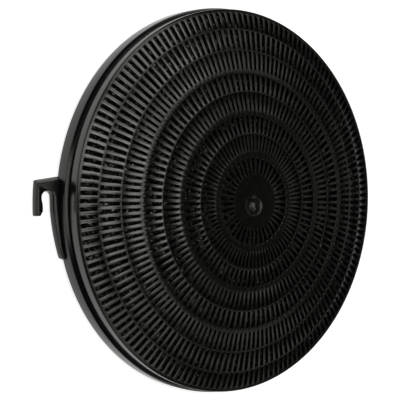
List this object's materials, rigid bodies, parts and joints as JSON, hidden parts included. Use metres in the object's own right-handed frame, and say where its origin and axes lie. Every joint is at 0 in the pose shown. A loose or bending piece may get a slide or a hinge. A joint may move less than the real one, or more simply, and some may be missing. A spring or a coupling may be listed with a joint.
{
  "type": "cooker hood carbon filter",
  "caption": "Round domed carbon filter for a cooker hood: slotted front grille on a shallow casing with two bayonet hooks, filled with charcoal.",
  "frame": {"origin": "on the filter's axis, in the plane of its flat back", "axes": "+Z along the filter's axis, out of the domed grille; +X from the hook seen in the picture towards the other one; +Y up in the picture"},
  "size_m": [0.2618, 0.2332, 0.0306],
  "materials": {
    "grille_plastic": "black moulded plastic, soft gloss",
    "casing_plastic": "black moulded plastic, soft gloss",
    "charcoal": "loose activated charcoal granules"
  },
  "bodies": {
    "root": {"front_grille": "grille_plastic", "rear_casing": "casing_plastic", "charcoal_fill": "charcoal"}
  },
  "joints": []
}
